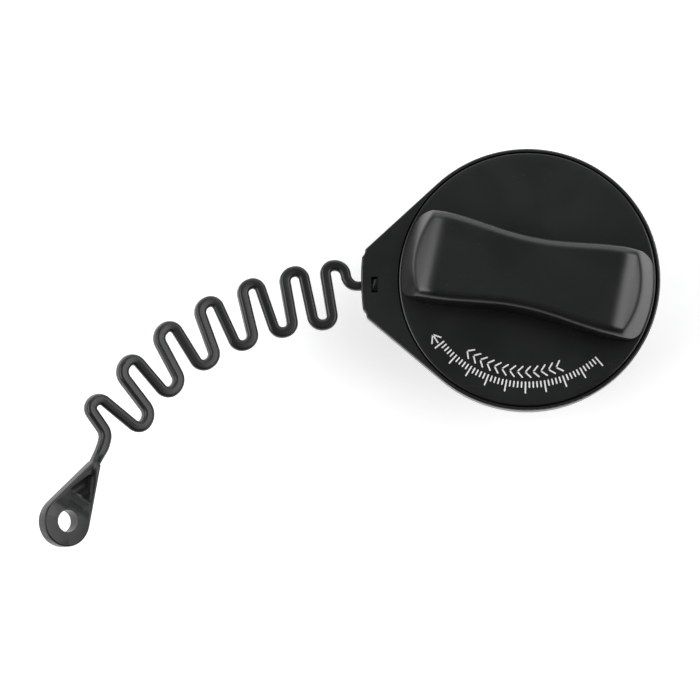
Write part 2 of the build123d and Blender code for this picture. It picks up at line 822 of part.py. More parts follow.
cup_inner = pressure_coil_radius - pressure_wire_radius - 0.9
cup_rim = pressure_coil_radius + pressure_wire_radius + 0.4
with BuildPart() as spring_cup:
    with BuildSketch(Plane.XZ):
        with BuildLine():
            Polyline(
                (cup_inner, plate_top),
                (cup_rim + spring_cup_wall, plate_top),
                (cup_rim + spring_cup_wall, plate_top + spring_cup_depth),
                (cup_rim, plate_top + spring_cup_depth),
                (cup_rim, plate_top + spring_cup_wall),
                (cup_inner, plate_top + spring_cup_wall),
                close=True,
            )
        make_face()
    revolve(axis=Axis.Z)
spring_cup.part.label = "spring_cup"
export_step(spring_cup.part, "parts/spring_cup.step")


def coil_spring(name, wire, coil, turns, bottom, top):
    """Round wire wound at a steady pitch between two faces."""
    rise = top - bottom - 2 * (wire + seat_gap)
    with BuildPart() as spring:
        with BuildLine():
            wire_line = Helix(
                pitch=rise / turns, height=rise, radius=coil, center=(0, 0, bottom + wire + seat_gap)
            )
        with BuildSketch(Plane(origin=wire_line @ 0, z_dir=wire_line % 0)):
            Circle(wire)
        sweep(is_frenet=True)
    spring.part.label = name
    export_step(spring.part, f"parts/{name}.step")


coil_spring(
    "pressure_spring",
    pressure_wire_radius,
    pressure_coil_radius,
    pressure_coil_turns,
    plate_top + spring_cup_wall,
    deck_bottom,
)

# ---- vacuum relief: poppet, its spring and its clip ------------------------------------

poppet_top = plate_top + poppet_stem_rise
clip_bottom = poppet_top - 1.2
head_top = seal_bottom - seat_gap
groove_core = poppet_stem_radius - 0.3

with BuildPart() as vacuum_poppet:
    with BuildSketch(Plane.XZ):
        with BuildLine():
            Polyline(
                (0, head_top - poppet_head_thickness),
                (poppet_head_radius - 0.3, head_top - poppet_head_thickness),
                (poppet_head_radius, head_top - poppet_head_thickness + 0.3),
                (poppet_head_radius, head_top),
                (poppet_stem_radius, head_top),
                (poppet_stem_radius, clip_bottom),
                (groove_core, clip_bottom),
                (groove_core, clip_bottom + clip_thickness),
                (poppet_stem_radius, clip_bottom + clip_thickness),
                (poppet_stem_radius, poppet_top - 0.3),
                (poppet_stem_radius - 0.3, poppet_top),
                (0, poppet_top),
                close=True,
            )
        make_face()
    revolve(axis=Axis.Z)
vacuum_poppet.part.label = "vacuum_poppet"
export_step(vacuum_poppet.part, "parts/vacuum_poppet.step")

coil_spring(
    "vacuum_spring",
    vacuum_wire_radius,
    vacuum_coil_radius,
    vacuum_coil_turns,
    plate_top,
    clip_bottom,
)

with BuildPart() as vacuum_clip:
    with BuildSketch(Plane.XY.offset(clip_bottom)):
        Circle(clip_radius)
        Circle(groove_core + seat_gap, mode=Mode.SUBTRACT)
        with Locations((clip_radius, 0)):
            Rectangle(2 * clip_radius - 0.4, 1.3, mode=Mode.SUBTRACT)
    extrude(amount=clip_thickness)
vacuum_clip.part.label = "vacuum_clip"
export_step(vacuum_clip.part, "parts/vacuum_clip.step")
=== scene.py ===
# %% [markdown]
# # A fuel filler cap on its moulded tether
#
# The cap is a black plastic disc with a grip bar across it. Under the disc sit a ring that turns
# freely, and the threaded plug that closes the filler neck. A zigzag strap, moulded in one piece
# with its eyelet, keeps the cap on the car. The construction model brings every piece at its real
# size, in metres, so this script adds the finish, the light, and the pieces that need a finer
# surface than a solid has.

import bmesh
import bpy
import numpy as np
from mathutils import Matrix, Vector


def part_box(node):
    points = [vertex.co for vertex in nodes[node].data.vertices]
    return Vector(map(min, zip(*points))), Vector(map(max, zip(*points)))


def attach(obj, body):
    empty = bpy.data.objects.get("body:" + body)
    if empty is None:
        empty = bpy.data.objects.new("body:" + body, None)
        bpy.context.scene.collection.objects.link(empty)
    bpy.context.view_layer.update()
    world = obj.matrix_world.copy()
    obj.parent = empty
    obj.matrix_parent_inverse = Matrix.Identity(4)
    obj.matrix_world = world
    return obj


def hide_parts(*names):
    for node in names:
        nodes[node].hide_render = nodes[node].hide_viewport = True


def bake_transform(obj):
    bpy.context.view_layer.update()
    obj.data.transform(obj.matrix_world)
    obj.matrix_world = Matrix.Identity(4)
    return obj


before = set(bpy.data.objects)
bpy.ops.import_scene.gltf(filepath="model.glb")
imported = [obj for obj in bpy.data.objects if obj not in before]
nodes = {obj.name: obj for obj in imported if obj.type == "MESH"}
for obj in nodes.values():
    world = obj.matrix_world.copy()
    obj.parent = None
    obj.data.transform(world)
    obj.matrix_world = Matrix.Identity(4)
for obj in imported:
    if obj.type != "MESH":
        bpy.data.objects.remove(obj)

scene = bpy.context.scene
scene.view_settings.view_transform = "Standard"
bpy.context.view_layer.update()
MM = 0.001
print("nodes:", sorted(nodes))

# %% [markdown]
# ## Camera
#
# The cap is seen almost from straight above, from about 0.6 m away, as with a long lens on a copy
# stand. A camera and a lamp both look along their own -Z axis with +Y up, so their rotation is
# built from three directions: right, up and back. That is plainer than three turns about different
# axes.

# %% Helpers for objects
def add_object(name, data):
    """New object in the scene, at the origin."""
    piece = bpy.data.objects.new(name, data)
    scene.collection.objects.link(piece)
    return piece


def aim(piece, place, target, up):
    """Put a camera or lamp at a place and turn it to a target; both are in metres."""
    back = (place - target) / np.linalg.norm(place - target)
    right = np.cross(up, back)
    right /= np.linalg.norm(right)
    pose = np.eye(4)
    pose[:3] = np.column_stack((right, np.cross(back, right), back, place))
    piece.matrix_world = pose.T
    print(f"{piece.name}: {np.linalg.norm(place - target):.2f} m from its target")


# %% Camera
camera_place = np.array([-13.89, -92.83, 623.61]) * MM
camera_target = np.array([-53.86, -20.39, 31.0]) * MM
picture_up = np.array([0.0171, 1.0, 0.0])

camera = add_object("camera", bpy.data.cameras.new("camera"))
camera.data.sensor_width = 36.0
camera.data.lens = 101.77
aim(camera, camera_place, camera_target, picture_up)
scene.camera = camera

# %% [markdown]
# ## Floor, world and lamps
#
# Black satin plastic shows its shape by what it reflects. The room is therefore a light tent: a
# white floor, a room that is dark in front and lighter behind, one soft box at each end of the grip
# bar, and a broad one behind. The side boxes hang high, so that they shine in the bar's rolled ends
# and not in the leaning tag. The floor is painted white, and to the camera and to reflections it
# also glows a little, which keeps its shadow but lets the open floor reach white. It lies a hair
# below the plug's foot, so that the two faces don't share a plane.

# %% Helpers for shader nodes
def new_material(name):
    """Empty node material with its output."""
    material = bpy.data.materials.new(name)
    material.use_nodes = True
    tree = material.node_tree
    tree.nodes.clear()
    return material, tree, tree.nodes.new("ShaderNodeOutputMaterial")


def add_node(tree, kind, **values):
    """New node of a kind; each value names an input socket or an own setting."""
    node = tree.nodes.new(kind)
    for key, value in values.items():
        if key in node.inputs:
            node.inputs[key].default_value = value
        else:
            setattr(node, key, value)
    return node


def add_range(tree, side, low, high, **values):
    """Map Range node with one side, From or To, set to a low and a high value."""
    node = add_node(tree, "ShaderNodeMapRange", **values)
    node.inputs[side + " Min"].default_value = low
    node.inputs[side + " Max"].default_value = high
    return node


def add_tones(tree, first, second):
    """Mix node between two colours."""
    node = add_node(tree, "ShaderNodeMix", data_type="RGBA")
    node.inputs["A"].default_value = (*first, 1.0)
    node.inputs["B"].default_value = (*second, 1.0)
    return node


# %% Floor
floor_half, floor_drop, floor_glow = 4.0, 0.02 * MM, 0.45


def floor_material():
    """White matt paint that glows a little to the camera and to reflections."""
    material, tree, output = new_material("floor_paint")
    paint = add_node(tree, "ShaderNodeBsdfDiffuse")
    speckle = add_node(tree, "ShaderNodeTexNoise", Scale=35.0, Detail=3.0)
    place = add_node(tree, "ShaderNodeTexCoord")
    shade = add_range(tree, "To", 0.88, 0.92)
    glow = add_node(tree, "ShaderNodeEmission")
    path = add_node(tree, "ShaderNodeLightPath")
    camera_or_gloss = add_node(tree, "ShaderNodeMath", operation="MAXIMUM")
    or_glass = add_node(tree, "ShaderNodeMath", operation="MAXIMUM")
    strength = add_node(tree, "ShaderNodeMath", operation="MULTIPLY")
    strength.inputs[1].default_value = floor_glow
    both = add_node(tree, "ShaderNodeAddShader")
    link = tree.links.new
    link(place.outputs["Object"], speckle.inputs["Vector"])
    link(speckle.outputs["Fac"], shade.inputs["Value"])
    link(shade.outputs["Result"], paint.inputs["Color"])
    link(path.outputs["Is Camera Ray"], camera_or_gloss.inputs[0])
    link(path.outputs["Is Glossy Ray"], camera_or_gloss.inputs[1])
    link(camera_or_gloss.outputs[0], or_glass.inputs[0])
    link(path.outputs["Is Transmission Ray"], or_glass.inputs[1])
    link(or_glass.outputs[0], strength.inputs[0])
    link(strength.outputs[0], glow.inputs["Strength"])
    link(paint.outputs[0], both.inputs[0])
    link(glow.outputs[0], both.inputs[1])
    link(both.outputs[0], output.inputs["Surface"])
    return material


corner = np.array([[-1, -1, 0], [1, -1, 0], [1, 1, 0], [-1, 1, 0]]) * floor_half
corner[:, 2] = -floor_drop
floor_mesh = bpy.data.meshes.new("floor")
floor_mesh.from_pydata(corner.tolist(), [], [(0, 1, 2, 3)])
floor_mesh.materials.append(floor_material())
floor = add_object("floor", floor_mesh)
print(f"floor: {2 * floor_half:.0f} m wide, glows by {floor_glow}")

# %% World
world = bpy.data.worlds.new("room")
world.use_nodes = True
scene.world = world
room = world.node_tree
front_tone, rear_tone = (0.022, 0.022, 0.020), (0.320, 0.340, 0.350)
room_direction = add_node(room, "ShaderNodeTexCoord")
room_split = add_node(room, "ShaderNodeSeparateXYZ")
room_depth = add_range(room, "From", 0.02, 0.45, interpolation_type="SMOOTHSTEP")
room_tone = add_tones(room, front_tone, rear_tone)
room.links.new(room_direction.outputs["Generated"], room_split.inputs[0])
room.links.new(room_split.outputs["Y"], room_depth.inputs["Value"])
room.links.new(room_depth.outputs["Result"], room_tone.inputs["Factor"])
room.links.new(room_tone.outputs["Result"], room.nodes["Background"].inputs["Color"])
print("room: dim in front, lighter towards the back")


# %% Lamps
disc_middle = np.array((0.0, 0.0, 0.03))
level_north = (0.0, 1.0, 0.0)


def soft_box(name, place, width, height, watts):
    """Rectangular lamp at a place in metres, turned to the middle of the disc."""
    data = bpy.data.lights.new(name, "AREA")
    data.shape = "RECTANGLE"
    data.size, data.size_y = width, height
    data.energy = watts
    aim(add_object(name, data), np.array(place), disc_middle, level_north)


soft_box("box_left", (-1.00, -0.06, 0.93), width=0.95, height=1.1, watts=11.5)
soft_box("box_right", (1.00, 0.03, 0.93), width=0.95, height=1.1, watts=10.3)
soft_box("box_back", (0.0, 1.30, 0.65), width=2.4, height=1.2, watts=10.5)

# %% [markdown]
# ## Grip cover
#
# The cover is one moulding: a disc with a skirt, and a hollow bar that is drawn in at its waist and
# rolls down at both ends. A solid modeller makes it from arcs and fillets that meet in visible
# seams. Here the whole skin is one grid instead. Its columns go round the bar's plan outline, and
# its rows run from the ridge of the bar, over its edge and down to the disc, out to the rim, round
# the skirt and back up inside. A height formula gives each point its place, so the light slides
# over the ends without a crease. The sizes are in millimetres, as on a drawing, and become metres
# when the mesh is made.

# %% Helpers for surfaces
def weld(mesh, distance, sharp_degrees):
    """Merge points closer than a distance, and smooth all edges but those sharper than an angle."""
    work = bmesh.new()
    work.from_mesh(mesh)
    bmesh.ops.remove_doubles(work, verts=work.verts, dist=distance)
    work.to_mesh(mesh)
    work.free()
    mesh.shade_smooth()
    mesh.set_sharp_from_angle(angle=np.radians(sharp_degrees))
    print(f"{mesh.name}: {len(mesh.vertices)} points, {len(mesh.polygons)} faces")


def skin(name, grid):
    """Piece from a grid of points whose columns close on themselves.

    Point (i, j) is joined to row i + 1 and to column j + 1, so a grid whose rows run outwards and
    whose columns run anticlockwise faces up. Points that coincide are welded.
    """
    index = np.arange(grid[..., 0].size).reshape(grid.shape[:2])
    quads = np.stack((
        index[:-1], index[1:], np.roll(index[1:], -1, axis=1), np.roll(index[:-1], -1, axis=1),
    ), axis=-1)
    mesh = bpy.data.meshes.new(name)
    mesh.from_pydata((grid.reshape(-1, 3) * MM).tolist(), [], quads.reshape(-1, 4).tolist())
    weld(mesh, 0.002 * MM, sharp_degrees=50)
    return add_object(name, mesh)


def even_loop(loop, count):
    """Closed line divided into equal steps along its own length."""
    closed = np.vstack((loop, loop[:1]))
    run = np.concatenate(([0.0], np.cumsum(np.linalg.norm(np.diff(closed, axis=0), axis=1))))
    stops = np.linspace(0.0, run[-1], count, endpoint=False)
    return np.column_stack([np.interp(stops, run, axis) for axis in closed.T])


def soften_loop(loop, spread):
    """Closed line with its corners rounded: each point is the mean of its neighbours, weighted by
    a bell curve whose width along the line is the spread. The mean is taken with a Fourier
    transform, where a bell curve in length is a bell curve in frequency."""
    length = np.linalg.norm(np.roll(loop, -1, axis=0) - loop, axis=1).sum()
    frequency = np.fft.fftfreq(len(loop), d=length / len(loop))
    keep = np.exp(-2 * (np.pi * frequency * spread) ** 2)
    return np.fft.ifft(np.fft.fft(loop, axis=0) * keep[:, None], axis=0).real


# %% Grip cover: sizes and plan outline
cover_radius = 38.75
skirt_bottom, disc_top, grip_top = 27.0, 31.0, 44.5
skirt_wall, grip_wall, ceiling = 2.1, 2.3, 28.8
bar_turn = np.radians(-13.0)
end_radius = cover_radius - 0.5
waist_half, flare, flare_start, flare_length = 11.0, 2.4, 1.0, 27.0
leading_corner, trailing_corner, hollow_corner, corner_blend = 3.8, 2.8, 0.4, 60.0
side_points, arc_points, columns = 1200, 60, 720


def side_half(u, wall):
    """Half width of the bar at a distance u along it: w + f (3 t^2 - 2 t^3), a smooth step in which
    t goes from 0 at the waist to 1 near the end, so the flare f starts and stops softly."""
    t = np.clip((np.abs(u) - flare_start) / flare_length, 0.0, 1.0)
    return waist_half - wall + flare * (3 * t**2 - 2 * t**3)


def bar_outline(wall):
    """Plan outline drawn in by a wall: a waisted side and an arc about the axis, then the same two
    turned by half a turn. Two opposite corners, which lead as the cap is tightened, are rounded
    more than the other two: a weight from 0 to 1 that follows -u v picks them."""
    radius = end_radius - wall
    u = np.linspace(radius, -radius, side_points)
    v = side_half(u, wall)
    inside = np.hypot(u, v) < radius
    u, v = u[inside], v[inside]
    corner_angle = np.arctan2(v[0], u[0])
    angle = np.linspace(np.pi - corner_angle, np.pi + corner_angle, arc_points)[1:-1]
    arc = np.column_stack((np.cos(angle), np.sin(angle))) * radius
    half = np.vstack((np.column_stack((u, v)), arc))
    loop = even_loop(np.vstack((half, -half)), columns)
    if wall > 0.0:
        return soften_loop(loop, hollow_corner)
    leading = 0.5 - 0.5 * np.tanh(loop[:, :1] * loop[:, 1:] / corner_blend)
    return (soften_loop(loop, leading_corner) * leading
            + soften_loop(loop, trailing_corner) * (1 - leading))


outline = bar_outline(0.0)
print("bar reaches", outline.max(axis=0).round(2), "mm from the axis, along and across")


# %% Grip cover: height of the bar
roll_start, roll_radius, roll_slope = 25.6, 11.0, np.radians(28)
edge_radius, least_radius = 2.8, 0.3
end_rise, end_lead, foot_rise, hollow_sink = 2.2, 1.2, 6.0, 0.25
edge_blend, top_blend = 0.4, 0.45


def end_roll(u):
    """Drop of the bar's ridge: none up to the start of the roll, then a circle that steepens to
    the slope's angle, r - sqrt(r^2 - x^2), and a straight slope after it."""
    run = np.maximum(np.abs(u) - roll_start, 0.0)
    circle = roll_radius - np.sqrt(np.maximum(roll_radius**2 - run**2, 0.0))
    turned = roll_radius * np.sin(roll_slope)
    straight = roll_radius * (1 - np.cos(roll_slope)) + (run - turned) * np.tan(roll_slope)
    return np.where(run < turned, circle, straight)


def edge_drop(distance, radius):
    """Drop of a rounded edge at a distance from its wall: r - sqrt(r^2 - (r - d)^2), a quarter
    circle that starts upright at the wall and ends level at the radius."""
    left = radius - np.clip(distance, 0.0, radius)
    return radius - np.sqrt(radius**2 - left**2)


def lower_of(a, b, blend):
    """The lower of two heights, rounded where they cross: (a + b) / 2 - sqrt(((a - b) / 2)^2 + k^2)
    lies k below the crossing and meets both heights away from it."""
    return (a + b) / 2 - np.sqrt(((a - b) / 2) ** 2 + blend**2)


def bar_height(u, v, wall):
    """Height of the bar's skin: the ridge, less the roll at its ends and the rounding of its edge,
    cut down by the end walls. These rise by end_rise for each millimetre in from the end, and by
    foot_rise near the disc."""
    to_side = side_half(u, wall) - np.abs(v)
    to_end = end_radius - wall - np.hypot(u, v)
    to_edge = lower_of(to_side, to_end, edge_blend)
    rounding = edge_drop(to_edge, max(edge_radius - wall, least_radius))
    top = grip_top - wall - end_roll(u) - rounding
    end_wall = lower_of(end_rise * to_end + end_lead, foot_rise * to_end, edge_blend)
    return lower_of(top, disc_top - hollow_sink * wall + end_wall, top_blend)


# %% Grip cover: rows of the bar
ridge_half, ridge_step = 24.0, 0.5
flat_rows, turn_rows, wall_rows, turn_share = 10, 34, 6, 0.45


def bar_rows(wall, foot):
    """Rows of the bar's skin, from its ridge to its foot. Each column runs from the nearest point
    of the ridge to the outline, with rows that crowd together where the edge turns down. The
    ridge's points are rounded to a step, so both sides share them and the seam closes."""
    loop = bar_outline(wall)
    nearest = np.clip(loop[:, 0], -ridge_half, ridge_half)
    ridge = np.column_stack((np.round(nearest / ridge_step) * ridge_step, np.zeros(columns)))
    turn = turn_share * (1 - np.cos(np.radians(np.linspace(90, 0, turn_rows))))
    share = np.concatenate((np.linspace(1.0, turn_share, flat_rows)[:-1], turn))[:, None, None]
    plan = loop * (1 - share) + ridge * share
    top = np.dstack((plan, np.maximum(bar_height(plan[..., 0], plan[..., 1], wall), foot)))
    down = np.linspace(0, 1, wall_rows)[1:, None]
    side_z = top[-1, :, 2] * (1 - down) + foot * down
    side = np.dstack((np.broadcast_to(loop, (len(down), columns, 2)), side_z))
    return np.concatenate((top, side))


# %% Grip cover: the whole skin
def circle_row(radius, height):
    """The outline's points pushed out along their own radius to a circle."""
    spoke = outline / np.linalg.norm(outline, axis=1)[:, None]
    return np.column_stack((spoke * radius, np.full(columns, height)))


rim_fillet, rim_rows, disc_rows = 0.6, 6, 14
flat_radius, skirt_inner = cover_radius - rim_fillet, cover_radius - skirt_wall
outer = bar_rows(0.0, disc_top)
share = np.linspace(0, 1, disc_rows)[1:, None, None]
disc = outer[-1] * (1 - share) + circle_row(flat_radius, disc_top) * share
rim = [
    circle_row(cover_radius - rim_fillet * (1 - np.sin(a)), disc_top - rim_fillet * (1 - np.cos(a)))
    for a in np.radians(np.linspace(15, 90, rim_rows))
]
skirt = [
    circle_row(cover_radius, skirt_bottom), circle_row(skirt_inner, skirt_bottom),
    circle_row(skirt_inner, ceiling),
]
hollow = bar_rows(grip_wall, ceiling)[::-1]
cover_grid = np.concatenate((outer, disc, rim, skirt, hollow))

spin = np.array([[np.cos(bar_turn), np.sin(bar_turn)], [-np.sin(bar_turn), np.cos(bar_turn)]])
cover_grid[..., :2] = cover_grid[..., :2] @ spin
cover_skin = skin("grip_cover_skin", cover_grid)
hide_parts("grip_cover")
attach(cover_skin, "handle")

# %% [markdown]
# ## Tether strap
#
# The strap is moulded flat in one shot with its eyelet, and polishing the tool leaves it rounder
# and a little fuller than its drawing. Its zigzag is already exact in the construction model, so
# only its surface is worked again: a copy of that mesh is welded, and each point of the strap moves
# outwards along its own normal. The eyelet and the end in the ring keep their size. The pocket in
# the tag, which saves material, is opened out to a thin rim by scaling it about its own middle.

# %% Helper: a welded copy of a construction mesh
def welded_copy(node_name, name):
    """Copy of a construction node's mesh as a new piece, with its doubled points merged."""
    mesh = nodes[node_name].data.copy()
    mesh.name = name
    weld(mesh, 0.001 * MM, sharp_degrees=40)
    piece = add_object(name, mesh)
    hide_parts(node_name)
    return piece


# %% Tether strap: a fuller skin
strap_skin = welded_copy("tether_strap", "tether_strap_skin")
strap_mesh = strap_skin.data
count = len(strap_mesh.vertices)
place, normal = np.empty(3 * count, np.float32), np.empty(3 * count, np.float32)
strap_mesh.vertices.foreach_get("co", place)
strap_mesh.vertices.foreach_get("normal", normal)
place, normal = place.reshape(-1, 3) / MM, normal.reshape(-1, 3)

strap_start, start_run = -51.5, 3.0
eyelet, eyelet_reach, eyelet_run = np.array([-135.676, -71.321, 57.003]), 21.0, 4.0
most_fuller = 0.30
past_ring = np.clip((strap_start - place[:, 0]) / start_run, 0.0, 1.0)
to_eyelet = np.linalg.norm(place - eyelet, axis=1)
past_eyelet = np.clip((to_eyelet - eyelet_reach) / eyelet_run, 0.0, 1.0)
fuller = most_fuller * past_ring * past_eyelet
place += normal * fuller[:, None]
print("strap skin: up to", round(float(fuller.max()), 2), "mm fuller at", count, "points")

# %% Tether strap: the tag's pocket
tag_normal = np.array([0.656059, 0.0, 0.75471])
tag_along = np.array([7.9, 17.9, -7.9 * tag_normal[0] / tag_normal[2]])
tag_along /= np.linalg.norm(tag_along)
tag_across = np.cross(tag_normal, tag_along)
pocket_ends, pocket_halves, pocket_floor = (8.2, 15.6), (3.7, 1.1), 0.8
pocket_middle, pocket_growth = 10.9, 0.34
from_eyelet = place - eyelet
along, across = from_eyelet @ tag_along, from_eyelet @ tag_across
in_pocket = (along > pocket_ends[0]) & (along < pocket_ends[1])
in_pocket &= from_eyelet @ tag_normal > pocket_floor
in_pocket &= np.abs(across) < np.interp(along, pocket_ends, pocket_halves)
grow = np.where(in_pocket, pocket_growth, 0.0)[:, None]
place += grow * ((along - pocket_middle)[:, None] * tag_along + across[:, None] * tag_across)
strap_mesh.vertices.foreach_set("co", (place * MM).astype(np.float32).ravel())
strap_mesh.update()
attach(strap_skin, "tether")
print("tag's pocket:", int(in_pocket.sum()), "points moved")

# %% [markdown]
# ## Valve springs
#
# Each coil spring has one end on a piece that stays and the other on a piece that moves, so it
# belongs to neither. The two springs are made again as welded copies, with their place baked into
# their points, and ride on no body. On the real cap the closed end coils move as a whole, and the
# turns between them close up.

# %% Valve springs as welded copies
def closing_spring(node_name, fixed_z, moving_z):
    """Welded copy of a spring, with its place baked in; fixed_z and moving_z, in metres, are
    printed.
    """
    spring = welded_copy(node_name, node_name + "_coil")
    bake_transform(spring)
    print(f"{node_name}: still at {fixed_z / MM:.1f} mm, moves at {moving_z / MM:.1f} mm")
    return spring


coil_end, thin_coil_end = 1.6 * MM, 0.48 * MM
pressure_low, pressure_high = (point[2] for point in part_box("pressure_spring"))
vacuum_low, vacuum_high = (point[2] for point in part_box("vacuum_spring"))
pressure_coil = closing_spring("pressure_spring",
                               pressure_high - coil_end, pressure_low + coil_end)
vacuum_coil = closing_spring("vacuum_spring",
                             vacuum_low + thin_coil_end, vacuum_high - thin_coil_end)

# %% [markdown]
# ## Print on the disc
#
# White ink is pad-printed on the disc after moulding: a dial scale with a long mark at every fifth
# place, an arrow at the end that the cap is turned towards, and a row of chevrons inside it. A
# painted mask would do, but ink is a real layer about 0.03 mm thick, and as flat plates the marks
# stay sharp from any distance. All plates of one kind come from one array of outlines.

# %% Helpers for flat plates
print_bottom, print_top, stroke_half = 30.99, 31.03, 0.22


def arc_point(radius, degrees):
    """Points in plan at a radius and an angle about the axis."""
    angle = np.radians(degrees)
    return np.stack((radius * np.cos(angle), radius * np.sin(angle)), axis=-1)


def stroke_loops(start, end):
    """Outlines of straight strokes with round ends: a half circle about each end, joined by the
    stroke's two sides. Start and end hold one point for each stroke."""
    along = (end - start) / np.linalg.norm(end - start, axis=-1, keepdims=True)
    across = np.stack((-along[:, 1], along[:, 0]), axis=-1)
    angle = np.radians(np.linspace(-90, 90, 9))[None, :, None]
    cap = stroke_half * (np.cos(angle) * along[:, None] + np.sin(angle) * across[:, None])
    return np.concatenate((end[:, None] + cap, start[:, None] - cap), axis=1)


def plates(loops):
    """Points and faces of thin plates from anticlockwise outlines: a wall of quads round each
    outline, closed by one face above and one below."""
    count, corners = loops.shape[:2]
    low = np.concatenate((loops, np.full((count, corners, 1), print_bottom)), axis=-1)
    high = np.concatenate((loops, np.full((count, corners, 1), print_top)), axis=-1)
    points = np.stack((low, high), axis=1).reshape(-1, 3)
    base = np.arange(count)[:, None] * 2 * corners + np.arange(corners)
    ahead = np.roll(base, -1, axis=1)
    walls = np.stack((base, ahead, ahead + corners, base + corners), axis=-1).reshape(-1, 4)
    return points, walls.tolist() + (base + corners).tolist() + base[:, ::-1].tolist()


# %% Print: scale, arrow and chevrons
inner_radius, short_radius, long_radius, arrow_radius = 31.5, 33.0, 34.7, 33.1
scale_angles = np.linspace(216, 309, 46)
long_mark = np.arange(len(scale_angles)) % 5 == 0
scale_inner = arc_point(np.full(len(scale_angles), inner_radius), scale_angles)
scale_outer = arc_point(np.where(long_mark, long_radius, short_radius), scale_angles)
upper_radius, tip_radius, lower_radius = 30.0, 28.4, 26.8
chevron_angles, chevron_lean = np.linspace(231, 288, 13), 1.6
upper = arc_point(upper_radius, chevron_angles + chevron_lean)
tip = arc_point(tip_radius, chevron_angles - chevron_lean)
lower = arc_point(lower_radius, chevron_angles + chevron_lean)
arrow_degrees, barb_degrees, shaft_degrees = 209.5, 213.2, 214.6
arrow_tip = arc_point(arrow_radius, np.array([arrow_degrees]))
barbs = arc_point(np.array([long_radius, inner_radius]), np.full(2, barb_degrees))
shaft = arc_point(arrow_radius, np.array([shaft_degrees]))
strokes = np.concatenate((
    stroke_loops(scale_inner, scale_outer),
    stroke_loops(upper, tip),
    stroke_loops(lower, tip),
    stroke_loops(barbs, np.repeat(arrow_tip, 2, axis=0)),
    stroke_loops(arrow_tip, shaft),
))
ink_points, ink_faces = plates(strokes)
ink_mesh = bpy.data.meshes.new("print_marks")
ink_mesh.from_pydata((ink_points * MM).tolist(), [], ink_faces)
print_marks = add_object("print_marks", ink_mesh)
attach(print_marks, "handle")
print("print strokes:", len(strokes))

# %% [markdown]
# ## Effects that several finishes share
#
# Every plastic here was moulded in a spark-eroded tool, so it carries the same two things: a fine
# even grain, and slow changes of tone where the melt flowed. Handling adds hairline scuffs and a
# little dust. Each effect is a node group that puts out only masks and heights, so one network
# serves many materials, and each material decides how strong it is.

# %% Node groups
def new_group(name, inputs, outputs):
    """Node group with named float or vector inputs and float outputs."""
    tree = bpy.data.node_groups.new(name, "ShaderNodeTree")
    for label, value in inputs.items():
        kind = "NodeSocketVector" if label == "Position" else "NodeSocketFloat"
        socket = tree.interface.new_socket(label, in_out="INPUT", socket_type=kind)
        if kind == "NodeSocketFloat":
            socket.default_value = value
    for label in outputs:
        tree.interface.new_socket(label, in_out="OUTPUT", socket_type="NodeSocketFloat")
    return tree, tree.nodes.new("NodeGroupInput"), tree.nodes.new("NodeGroupOutput")


def moulded_grain():
    """Grain: fine bumps of the tool's eroded face. Tone: slow blotches of melt flow."""
    tree, given, result = new_group(
        "moulded_grain", {"Position": None, "Grain Scale": 5200.0, "Flow Scale": 45.0},
        ("Grain", "Tone"))
    fine = add_node(tree, "ShaderNodeTexNoise", Detail=2.0, Roughness=0.6)
    pits = add_node(tree, "ShaderNodeTexVoronoi", feature="SMOOTH_F1", Smoothness=0.6)
    mean = add_node(tree, "ShaderNodeMath", operation="MULTIPLY_ADD")
    mean.inputs[1].default_value = 0.5
    flow = add_node(tree, "ShaderNodeTexNoise", Detail=3.0, Roughness=0.45, Distortion=0.8)
    spread = add_range(tree, "From", 0.32, 0.68, interpolation_type="SMOOTHSTEP")
    link = tree.links.new
    for texture in (fine, pits, flow):
        link(given.outputs["Position"], texture.inputs["Vector"])
    link(given.outputs["Grain Scale"], fine.inputs["Scale"])
    link(given.outputs["Grain Scale"], pits.inputs["Scale"])
    link(given.outputs["Flow Scale"], flow.inputs["Scale"])
    link(pits.outputs["Distance"], mean.inputs[0])
    link(fine.outputs["Fac"], mean.inputs[2])
    link(mean.outputs[0], result.inputs["Grain"])
    link(flow.outputs["Fac"], spread.inputs["Value"])
    link(spread.outputs["Result"], result.inputs["Tone"])
    return tree


